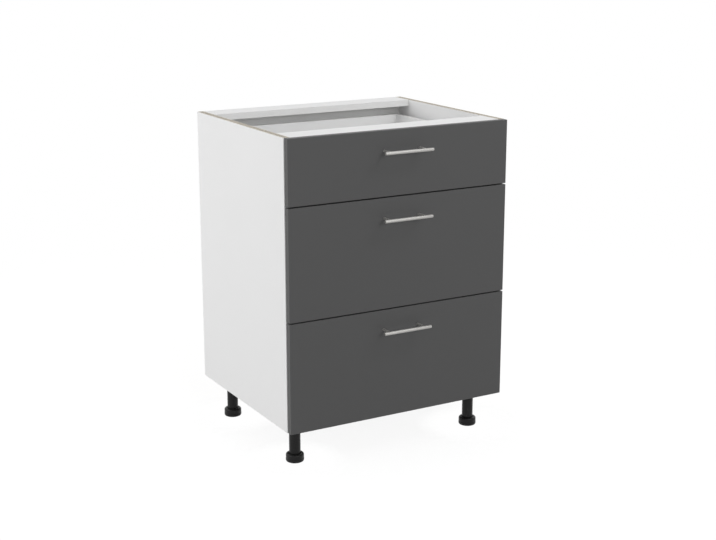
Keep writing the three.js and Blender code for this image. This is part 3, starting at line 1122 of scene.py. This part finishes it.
@dataclass(frozen=True)
class Carcass:
    """Side panels, bottom panel, top rails and back panel, with their fittings.

    Attributes:
        body: CAD body that carries it.
        groove_depth: depth of the back panel's groove.
        groove_slip: play on each face of the back panel.
        cam_inset: side panel to the middle of a cam fitting.
        cam_edge: front or rear edge of the bottom panel to its cams, clear of the leg sockets.
        pad: radius and thickness of a buffer pad for the drawer fronts.
        pad_top: radius of a pad's flat top against the pad's.
        pad_drop: top of a front to its pads.
    """

    body: str = "carcass"
    groove_depth: float = 6 * MM
    groove_slip: float = 0.25 * MM
    cam_inset: float = 34 * MM
    cam_edge: float = 110 * MM
    pad: Pair = (4 * MM, 0.4 * MM)
    pad_top: float = 0.9
    pad_drop: float = 22 * MM

    def build(self) -> None:
        """Makes every piece of the carcass."""
        sheet_low, sheet_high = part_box("back_panel")
        walls = (sheet_low.y - self.groove_slip, sheet_high.y + self.groove_slip)

        def groove(opens: int) -> Groove:
            """Groove of the back panel in a board."""
            return Groove(walls, self.groove_depth, opens)

        front = frozenset({Facing.FRONT})
        for hand in Hand:
            Board(
                f"{hand.label}_side_board", f"side_{hand.label}", self.body,
                Axis.Z, Axis.X, front, groove(-hand.value),
            ).build()
        both = frozenset({Facing.FRONT, Facing.BACK})
        for name, node, banded, slot in (
            ("bottom_board", "bottom_panel", front, groove(1)),
            ("back_top_rail", "rail_back", front, groove(-1)),
            ("front_top_rail", "rail_front", both, None),
        ):
            Board(
                name, node, self.body, Axis.X, Axis.Z, banded, slot, butts=BETWEEN_SIDES
            ).build()
        Sheet("back_sheet", "back_panel", self.body, Facing.FRONT).build()
        self.build_cams()
        self.build_pads()

    def build_cams(self) -> None:
        """Cam fittings under the flat boards: at each side one in a rail, two in the bottom."""
        seats = []
        for node, edge in (("rail_front", 0), ("rail_back", 0), ("bottom_panel", self.cam_edge)):
            low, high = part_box(node)
            rows = [low.y + edge, high.y - edge] if edge else [(low.y + high.y) / 2]
            for hand in Hand:
                x = hand.value * (high.x - self.cam_inset)
                seats += [(Vector((x, y, low.z)), -UP) for y in rows]
        CAM.row("carcass_cam_fittings", self.body, seats)

    def build_pads(self) -> None:
        """Buffer pads on the side panels' front edges, where the closed fronts rest."""
        radius, thickness = self.pad
        profile = [(0, 0), (radius, 0), (radius * self.pad_top, thickness), (0, thickness)]
        pads = []
        for tier in Tier:
            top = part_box(f"drawer_{tier.value}_front")[1].z
            for hand in Hand:
                low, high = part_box(f"side_{hand.label}")
                seat = Vector(((low.x + high.x) / 2, low.y, top - self.pad_drop))
                pads.append(Shape.turned(profile, seat, -Axis.Y.unit, 20))
        pads[0].with_shapes(pads[1:]).piece("front_buffer_pads", self.body, [CLEAR_PAD])


# ---- roller runners


@dataclass(frozen=True)
class Roller:
    """Nylon roller with a hub and a rim, turning on a riveted axle.

    Attributes:
        node: CAD node and body of the roller.
        bore: radius of its bore.
        hub: radius of the hub.
        rim: inner radius of the rim.
        recess: depth between hub and rim.
        slope: width of the slopes into the recess.
        chamfer: rounding of the tread's edges.
    """

    node: str
    bore: float = 2.6 * MM
    hub: float = 4.7 * MM
    rim: float = 7.8 * MM
    recess: float = 0.6 * MM
    slope: float = 0.3 * MM
    chamfer: float = 0.9 * MM

    def build(self) -> bpy.types.Object:
        """Turns the roller on its CAD axis.

        Returns:
            The piece's object.
        """
        low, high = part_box(self.node)
        middle = (low + high) / 2
        half, radius = (high.x - low.x) / 2, (high.z - low.z) / 2
        sunk = half - self.recess
        cut = CORNER * self.chamfer
        side = [
            (self.bore, half), (self.hub, half), (self.hub + self.slope, sunk),
            (self.rim - self.slope, sunk), (self.rim, half), (radius - self.chamfer, half),
            (radius - cut, half - cut), (radius, half - self.chamfer),
        ]
        mirrored = [(r, -h) for r, h in reversed(side)]
        shape = Shape.turned([*side, *mirrored, side[0]], middle, Axis.X.unit)

        def on_tread(point: Vector) -> float:
            """1 on the tread and 0 on the faces."""
            return float((point - middle).yz.length > radius - self.chamfer / 2)

        return shape.marked(TREAD, on_tread).piece(
            f"{self.node}_wheel", self.node, [ROLLER_NYLON], "roller_plastic", [self.node]
        )


@dataclass(frozen=True)
class RollerRunner:
    """Channel on the carcass side and moving profile on the drawer, with rollers and screws.

    Attributes:
        tier: the drawer that it carries.
        hand: the side that it is on.
        gauge: thickness of the sheet steel.
        seat_gap: glue line between a profile and its board.
        setback: carcass front edge to the channel.
        first_screw: carcass front edge to the first screw.
        pitch: pitch of the screw grid.
        channel_steps: grid steps of the channel's screws.
        profile_steps: grid steps of the moving profile's screws.
    """

    tier: Tier
    hand: Hand
    gauge: float = 1.2 * MM
    seat_gap: float = 0.1 * MM
    setback: float = 2 * MM
    first_screw: float = 37 * MM
    pitch: float = 32 * MM
    channel_steps: tuple[int, ...] = (0, 4, 9)
    profile_steps: tuple[int, ...] = (0, 6)

    def build(self) -> None:
        """Dresses both profiles and makes the rollers and screws."""
        side, drawer = self.hand.label, f"drawer_{self.tier.value}"
        where = f"{self.tier.value}_{side}"
        channel, profile = f"channel_{where}", f"{drawer}_profile_{side}"
        for node in (channel, profile):
            dress(node, RUNNER_COAT)
        Roller(f"channel_roller_{where}").build()
        Roller(f"{drawer}_roller_{side}").build()

        x = self.hand.outer(channel) - self.hand.value * self.gauge
        seats = self.seats(channel, x, -self.hand.value, self.setback, self.channel_steps)
        RUNNER_SCREW.row(f"{where}_channel_screws", "carcass", seats)
        x = self.hand.outer(f"{drawer}_side_{side}")
        x += self.hand.value * (self.seat_gap + self.gauge)
        seats = self.seats(profile, x, self.hand.value, self.seat_gap, self.profile_steps)
        WOOD_SCREW.row(f"{where}_profile_screws", drawer, seats)

    def seats(
        self, node: str, x: float, out: int, setback: float, steps: Iterable[int]
    ) -> list[Seat]:
        """Seats of a profile's screws, on the pitch of the system's holes.

        Args:
            node: CAD node of the profile.
            x: where the heads sit.
            out: sign of x on the side that the heads face.
            setback: front edge of the profile's board to the profile.
            steps: grid steps of the screws.

        Returns:
            (seat, out) of each screw.
        """
        low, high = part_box(node)
        y, z = low.y - setback + self.first_screw, (low.z + high.z) / 2
        return [(Vector((x, y + step * self.pitch, z)), out * Axis.X.unit) for step in steps]


# ---- drawers


@dataclass(frozen=True)
class BarHandle:
    """Round bar on two posts.

    Attributes:
        node: CAD node of the handle.
        body: CAD body of its drawer.
        front: CAD node of the front that it is screwed to.
        bar: radius of the bar.
        chamfer: rounding of the bar's ends.
        post: radius of a post.
        spacing: distance between the posts.
    """

    node: str
    body: str
    front: str
    bar: float = 4 * MM
    chamfer: float = 0.6 * MM
    post: float = 3 * MM
    spacing: float = 96 * MM

    def build(self) -> None:
        """Makes the bar, its posts and the two screws behind the front."""
        low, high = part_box(self.node)
        front_low, front_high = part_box(self.front)
        y, z = low.y + self.bar, (low.z + high.z) / 2
        half = (high.x - low.x) / 2
        cut = CORNER * self.chamfer
        end = [
            (0, half), (self.bar - self.chamfer, half),
            (self.bar - cut, half - cut), (self.bar, half - self.chamfer),
        ]
        profile = [(r, -x) for r, x in end] + end[::-1]
        bar = Shape.turned(profile, Vector((0, y, z)), Axis.X.unit, 40)
        length = front_low.y - y
        post = [(0, 0), (self.post, 0), (self.post, length), (0, length)]
        posts, seats = [], []
        for hand in Hand:
            foot = Vector((hand.value * self.spacing / 2, y, z))
            posts.append(Shape.turned(post, foot, Axis.Y.unit, 32))
            seats.append((Vector((foot.x, front_high.y, z)), Axis.Y.unit))
        bar.fused(posts).piece(
            f"{self.body}_bar_handle", self.body, [SATIN_STEEL], "satin_steel", [self.node]
        )
        HANDLE_SCREW.row(f"{self.body}_handle_screws", self.body, seats)


@dataclass(frozen=True)
class Drawer:
    """Slab front with its handle, and a box of two sides, a back and a base.

    Attributes:
        tier: which drawer it is.
        edge_radius: rounding of the front's edges.
        wrap_radius: rounding of the box sides' wrapped edges.
        back_radius: rounding of the box back's edges.
        skin: thickness of the fine chip layer in the box's thin boards.
        groove_depth: depth of the base's groove.
        groove_slip: play on each face of the base.
        cam_inset: back of the front to the cams that hold it.
        cam_heights: heights of those cams against the box side's.
        screw_inset: top edge of the box side to the upper screw of the box back.
        low_screw: lower edge of the box side to the lower screw, clear of the base.
    """

    tier: Tier
    edge_radius: float = 1.2 * MM
    wrap_radius: float = 1 * MM
    back_radius: float = 0.6 * MM
    skin: float = 2.4 * MM
    groove_depth: float = 5 * MM
    groove_slip: float = 0.25 * MM
    cam_inset: float = 24 * MM
    cam_heights: Pair = (0.38, 0.8)
    screw_inset: float = 26 * MM
    low_screw: float = 32 * MM

    @property
    def body(self) -> str:
        """CAD body of the drawer."""
        return f"drawer_{self.tier.value}"

    def build(self) -> None:
        """Makes the front, the handle, the box, its fittings and its runners."""
        front = f"{self.body}_front"
        Shape.block(*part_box(front)).eased(self.edge_radius, 4).piece(
            f"{self.body}_slab_front", self.body, [DARK_DECOR], "dark_front", [front], True
        )
        BarHandle(f"{self.body}_handle", self.body, front).build()
        self.build_box()
        self.build_fittings()
        for hand in Hand:
            RollerRunner(self.tier, hand).build()

    def build_box(self) -> None:
        """Makes the box sides, back and base."""
        base = f"{self.body}_base"
        base_low, base_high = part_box(base)
        walls = (base_low.z - self.groove_slip, base_high.z + self.groove_slip)
        wrapped = frozenset({Facing.TOP, Facing.UNDER})
        for hand in Hand:
            Board(
                f"{self.body}_{hand.label}_board", f"{self.body}_side_{hand.label}", self.body,
                Axis.Y, Axis.X, wrapped, Groove(walls, self.groove_depth, -hand.value),
                self.wrap_radius, self.skin,
            ).build()
        Board(
            f"{self.body}_back_board", f"{self.body}_back", self.body, Axis.X, Axis.Y,
            frozenset({Facing.TOP}), None, self.back_radius, self.skin, BETWEEN_SIDES,
        ).build()
        Sheet(f"{self.body}_base_sheet", base, self.body, Facing.TOP).build()

    def build_fittings(self) -> None:
        """Cams that hold the front, and screws that hold the box back."""
        back_low, back_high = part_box(f"{self.body}_back")
        y = (back_low.y + back_high.y) / 2
        cams, screws = [], []
        for hand in Hand:
            low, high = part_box(f"{self.body}_side_{hand.label}")
            x, out = hand.outer(f"{self.body}_side_{hand.label}"), hand.value * Axis.X.unit
            for share in self.cam_heights:
                z = low.z + share * (high.z - low.z)
                cams.append((Vector((x, low.y + self.cam_inset, z)), out))
            for z in (low.z + self.low_screw, high.z - self.screw_inset):
                screws.append((Vector((x, y, z)), out))
        CAM.row(f"{self.body}_front_cams", self.body, cams)
        WOOD_SCREW.row(f"{self.body}_back_screws", self.body, screws)


# ---- levelling legs


@dataclass(frozen=True)
class LevellingLeg:
    """Plate with a collar, a tube and a foot that screws in and out.

    Attributes:
        row: front or back pair.
        hand: left or right.
        plate: thickness of the socket's plate.
        corner: radius of the plate's corners.
        wall: thickness of the collar.
        slip: play between collar and tube.
        soft: rounding of the socket's lower edges.
        rib: thickness of the ribs between plate and collar.
        rib_root: how far a rib reaches into the collar, and its flat run outside it.
        rib_inset: collar's lower rim, and plate's edge, to a rib.
        rib_tip: height of a rib at its outer end.
        screw_inset: plate edge to a screw.
        tube: outer radius and wall of the tube.
        tube_edges: chamfers of the tube's lower and upper edge.
        cap: thickness of the tube's closed end.
        foot: radius and height of the foot.
        sole: height of the foot's lower tier and the rounding under it.
        ring: width of the flat ring that the foot stands on.
        hollow: height of the hollow inside that ring.
        step: how far the upper tier stands inside the lower one.
        seam_low: (inset, height) points from the lower tier's top edge into the seam.
        seam_high: the same from the seam to the upper tier.
        shoulder: radius of the foot's shoulder.
        cup: depth of the recess that takes the tube's end.
        cup_slip: play around the tube in it.
        cup_edge: chamfer of its rim.
        spindle: radius of the threaded spindle.
        pitch: pitch of its thread.
        thread: depth of the thread.
        root: where a turn's root begins and ends against the pitch.
        crest: where its crest begins and ends.
        nose: inset and height of the chamfer at the spindle's end.
    """

    row: Row
    hand: Hand
    plate: float = 4 * MM
    corner: float = 8 * MM
    wall: float = 3 * MM
    slip: float = 0.25 * MM
    soft: float = 0.5 * MM
    rib: float = 2 * MM
    rib_root: float = 1 * MM
    rib_inset: float = 3 * MM
    rib_tip: float = 1 * MM
    screw_inset: float = 8 * MM
    tube: Pair = (13.9 * MM, 3 * MM)
    tube_edges: Pair = (0.4 * MM, 1 * MM)
    cap: float = 4 * MM
    foot: Pair = (22.3 * MM, 21 * MM)
    sole: Pair = (8 * MM, 4.2 * MM)
    ring: float = 1.5 * MM
    hollow: float = 0.4 * MM
    step: float = 0.25 * MM
    seam_low: tuple[Pair, ...] = ((0, -0.2 * MM), (0.15 * MM, 0))
    seam_high: tuple[Pair, ...] = (
        (0.5 * MM, 0.1 * MM), (0.5 * MM, 0.8 * MM), (0.1 * MM, 1 * MM), (0, 1.3 * MM),
    )
    shoulder: float = 4.5 * MM
    cup: float = 4 * MM
    cup_slip: float = 1 * MM
    cup_edge: float = 0.3 * MM
    spindle: float = 10 * MM
    pitch: float = 3 * MM
    thread: float = 0.6 * MM
    root: Pair = (0.1, 0.3)
    crest: Pair = (0.55, 0.75)
    nose: Pair = (1 * MM, 0.6 * MM)

    @property
    def place(self) -> str:
        """Place as the CAD nodes write it."""
        return f"{self.row.value}_{self.hand.label}"

    def foot_point(self) -> Vector:
        """Point on the floor under the leg's axis."""
        low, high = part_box(f"leg_foot_{self.place}")
        return Vector(((low.x + high.x) / 2, (low.y + high.y) / 2, 0))

    def build(self) -> None:
        """Makes the socket, the tube and the foot."""
        self.build_socket()
        self.build_tube()
        self.build_foot()

    def build_socket(self) -> None:
        """Plate, collar and ribs in one moulding, and four screws."""
        node = f"leg_socket_{self.place}"
        low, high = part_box(node)
        under, inside = high.z - self.plate, high.z - self.plate / 2
        centre = self.foot_point()
        block = Shape.block(Vector((low.x, low.y, under)), high)
        block.eased(self.corner, 6, lambda edge: abs((edge.verts[0].co - edge.verts[1].co).z) > MM)
        block.eased(self.soft, 2, lambda edge: all(v.co.z < under + TOUCH for v in edge.verts))
        bore = self.tube[0] + self.slip
        outer = bore + self.wall
        collar = Shape.turned([
            (bore, low.z), (outer - self.soft, low.z), (outer, low.z + self.soft),
            (outer, inside), (bore, inside), (bore, low.z),
        ], centre, UP)
        foot, end = low.z + self.rib_inset, (high.x - low.x) / 2 - self.rib_inset
        corners = [
            (outer - self.rib_root, inside), (outer - self.rib_root, foot),
            (outer + self.rib_root, foot), (end, under - self.rib_tip), (end, inside),
        ]
        side = Vector((0, self.rib / 2, 0))
        ribs = []
        for quarter in range(4):
            turn = Matrix.Rotation(quarter * math.tau / 4, 4, "Z")
            outline = [turn @ (Vector((r, 0, z)) - side) + centre for r, z in corners]
            ribs.append(Shape.swept(outline, turn @ (2 * side)))
        block.fused([*ribs, collar]).piece(
            f"{self.place}_leg_socket", "carcass", [BLACK_PLASTIC], "black_plastic", [node]
        )
        seats = [
            (Vector((x, y, under)), -UP)
            for x in (low.x + self.screw_inset, high.x - self.screw_inset)
            for y in (low.y + self.screw_inset, high.y - self.screw_inset)
        ]
        SOCKET_SCREW.row(f"{self.place}_socket_screws", "carcass", seats)

    def build_tube(self) -> None:
        """Tube with a closed upper end."""
        node = f"leg_tube_{self.place}"
        low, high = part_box(node)
        radius, wall = self.tube
        lower, upper = self.tube_edges
        bore, cap = radius - wall, high.z - self.cap
        profile = [
            (0, cap), (bore, cap), (bore, low.z), (radius - lower, low.z), (radius, low.z + lower),
            (radius, high.z - upper), (radius - upper, high.z), (0, high.z),
        ]
        Shape.turned(profile, self.foot_point(), UP, 64).piece(
            f"{self.place}_leg_tube", "carcass", [BLACK_PLASTIC], "black_plastic", [node]
        )

    @staticmethod
    def arc(middle: Pair, radius: float, start: float, steps: int = 8) -> list[Pair]:
        """Quarter of a circle in a turned piece's profile.

        Args:
            middle: the circle's middle: distance from the axis and height.
            radius: radius of the circle.
            start: angle of the first point, from the outward direction.
            steps: facets of the arc.

        Returns:
            (radius, height) points.
        """
        angles = [start + math.pi / 2 * step / steps for step in range(steps + 1)]
        return [
            (middle[0] + radius * math.cos(a), middle[1] + radius * math.sin(a)) for a in angles
        ]

    def build_foot(self) -> None:
        """Foot in two tiers with a rounded shoulder, a cup and a threaded spindle."""
        node = f"leg_foot_{self.place}"
        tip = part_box(node)[1].z
        radius, top = self.foot
        seam, under = self.sole
        grip = radius - self.step
        rim = self.tube[0] + self.cup_slip
        floor = top - self.cup
        pad = radius - under - self.ring
        profile = [(0, self.hollow), (pad, self.hollow), (pad, 0)]
        profile += self.arc((radius - under, under), under, -math.pi / 2)
        profile += [(radius - inset, seam + height) for inset, height in self.seam_low]
        profile += [(grip - inset, seam + height) for inset, height in self.seam_high]
        profile += self.arc((grip - self.shoulder, top - self.shoulder), self.shoulder, 0)
        profile += [(rim + self.cup_edge, top), (rim, top - self.cup_edge), (rim, floor)]
        core = self.spindle - self.thread
        for turn in range(int((tip - floor - self.pitch) / self.pitch)):
            z = floor + turn * self.pitch
            for at, shares in ((core, self.root), (self.spindle, self.crest)):
                profile += [(at, z + share * self.pitch) for share in shares]
        inset, height = self.nose
        profile += [(core, tip - height), (core - inset, tip), (0, tip)]
        Shape.turned(profile, self.foot_point(), UP, 64).piece(
            f"{self.place}_leg_foot", node, [BLACK_PLASTIC], "black_plastic", [node]
        )


# ---- studio


@dataclass(frozen=True)
class Softbox:
    """Large soft lamp.

    Attributes:
        name: the lamp's name.
        place: where it stands.
        aim: the point that it faces.
        size: width and height.
        power: watts.
    """

    name: str
    place: Triple
    aim: Triple
    size: Pair
    power: float

    def build(self) -> None:
        """Hangs the lamp."""
        lamp = bpy.data.lights.new(self.name, "AREA")
        lamp.shape = "RECTANGLE"
        lamp.size, lamp.size_y = self.size
        lamp.energy = self.power
        made = bpy.data.objects.new(self.name, lamp)
        made.location = self.place
        beam = Vector(self.aim) - Vector(self.place)
        made.rotation_euler = beam.to_track_quat("-Z", "Y").to_euler()
        made.visible_camera = False
        bpy.context.scene.collection.objects.link(made)


@dataclass(frozen=True)
class Studio:
    """White floor, white surroundings, soft lamps and the camera.

    Attributes:
        eye: the camera's place.
        yaw: degrees that the camera is turned to the right of +Y.
        pitch: degrees that it looks down.
        lens: focal length in millimetres.
        sensor: width of the sensor in millimetres.
        ambient: brightness of the surroundings as light on the object.
        floor_color: brightness of the floor as light on the object.
        floor_level: how bright the lamps leave the open floor.
        floor_radius: radius of the floor.
        floor_fade: distances from the middle over which the shown floor fades out.
        shadow: share of the object's shadow that the white floor shows.
        feet_clear: distances from a foot's axis over which the floor begins to show.
        lamps: the softboxes.
    """

    eye: Triple = (-1.6361, -2.8967, 1.2767)
    yaw: float = 29.66
    pitch: float = 14.61
    lens: float = 68.22
    sensor: float = 36
    ambient: float = 0.39
    floor_color: float = 0.6
    floor_level: float = 0.44
    floor_radius: float = 12
    floor_fade: Pair = (0.7, 2.4)
    shadow: float = 0.3
    feet_clear: Pair = (0.07, 0.14)
    lamps: tuple[Softbox, ...] = (
        Softbox("left_softbox", (-3.6, 0.4, 1.6), (0, 0, 0.4), (2.4, 2.4), 60),
        Softbox("front_softbox", (1.6, -4.0, 2.6), (0, 0, 0.5), (2.4, 2.4), 24),
        Softbox("low_front_softbox", (-0.6, -4.4, 1.9), (0, -0.1, 0.75), (1.4, 1.0), 32.5),
        Softbox("upper_front_softbox", (1.1, -1.5, 2.4), (0.05, -0.23, 0.7), (0.8, 0.8), 11.5),
        Softbox("top_softbox", (0, 0.2, 3.6), (0, 0, 0), (2.4, 2.4), 12),
        Softbox("right_softbox", (3.6, 0.9, 1.6), (0, 0, 0.4), (2.4, 2.4), 26),
        Softbox("back_softbox", (-1.8, 3.6, 2.4), (0, 0, 0.4), (2.0, 2.0), 28),
    )

    def build(self) -> None:
        """Sets the camera, the lamps, the surroundings and the floor."""
        self.build_camera()
        for lamp in self.lamps:
            lamp.build()
        self.build_world()
        self.build_floor()
        bpy.context.scene.view_settings.view_transform = "Standard"

    def build_camera(self) -> None:
        """Camera at the photograph's viewing angle."""
        camera = bpy.data.cameras.new("camera")
        camera.lens, camera.sensor_width = self.lens, self.sensor
        made = bpy.data.objects.new("camera", camera)
        made.location = self.eye
        made.rotation_euler = (math.radians(90 - self.pitch), 0, -math.radians(self.yaw))
        bpy.context.scene.collection.objects.link(made)
        bpy.context.scene.camera = made

    def build_world(self) -> None:
        """Surroundings that look white and light the object more softly."""
        tree = ShaderTree(bpy.data.worlds.new("studio"))
        seen = tree.rays("Is Camera Ray", "Is Glossy Ray", "Is Transmission Ray")
        strength = self.ambient + (1 - self.ambient) * seen
        tree.surface(
            tree.node("ShaderNodeBackground", None, {"Color": WHITE, "Strength": strength}),
            "ShaderNodeOutputWorld",
        )
        bpy.context.scene.world = tree.owner

    def build_floor(self) -> None:
        """Floor that lets the white surroundings through and keeps a faint shadow."""
        mesh = bmesh.new()
        bmesh.ops.create_circle(mesh, cap_ends=True, segments=64, radius=self.floor_radius)
        data = bpy.data.meshes.new("studio_floor")
        mesh.to_mesh(data)
        mesh.free()
        floor = bpy.data.objects.new("studio_floor", data)
        bpy.context.scene.collection.objects.link(floor)

        tree = ShaderTree(bpy.data.materials.new("studio_floor"))
        lit = tree.node("ShaderNodeBsdfDiffuse", None, {"Color": (*[self.floor_color] * 3, 1)})
        clear = tree.node("ShaderNodeBsdfTransparent")
        length = {"operation": "LENGTH"}
        reach = tree.node("ShaderNodeVectorMath", length, {0: tree.place()}, "Value")
        below = tree.node("ShaderNodeNewGeometry", output="Backfacing")
        shown = (1 - tree.fade(reach, *self.floor_fade)) * self.around_feet(tree) * (1 - below)
        seen = tree.rays("Is Camera Ray", "Is Glossy Ray")
        share = seen * (1 - self.shadow * shown)
        mixed = tree.node("ShaderNodeMixShader", None, {0: share, 1: lit, 2: clear})
        lift = seen * shown * (self.shadow * (1 - self.floor_level))
        glow = tree.node("ShaderNodeEmission", None, {"Color": WHITE, "Strength": lift})
        tree.surface(tree.node("ShaderNodeAddShader", None, {0: mixed, 1: glow}))
        data.materials.append(tree.owner)

    def around_feet(self, tree: ShaderTree) -> Signal:
        """0 at the feet, where they may reach below the floor, and 1 away from them.

        Args:
            tree: the floor's node tree.

        Returns:
            The mask.
        """
        ahead, behind = (LevellingLeg(row, Hand.RIGHT).foot_point() for row in Row)
        middle, half = (ahead.y + behind.y) / 2, (behind.y - ahead.y) / 2
        x = abs(tree.along(Axis.X)) - ahead.x
        y = abs(tree.along(Axis.Y) - middle) - half
        start, end = self.feet_clear
        return tree.fade(x * x + y * y, start * start, end * end)


# ---- assembly


def main() -> None:
    """Builds the studio and the cabinet."""
    logging.basicConfig(level=logging.INFO, format="%(name)s: %(message)s")
    Studio().build()
    Carcass().build()
    for row in Row:
        for hand in Hand:
            LevellingLeg(row, hand).build()
    for tier in Tier:
        Drawer(tier).build()


if __name__ == "__main__":
    main()
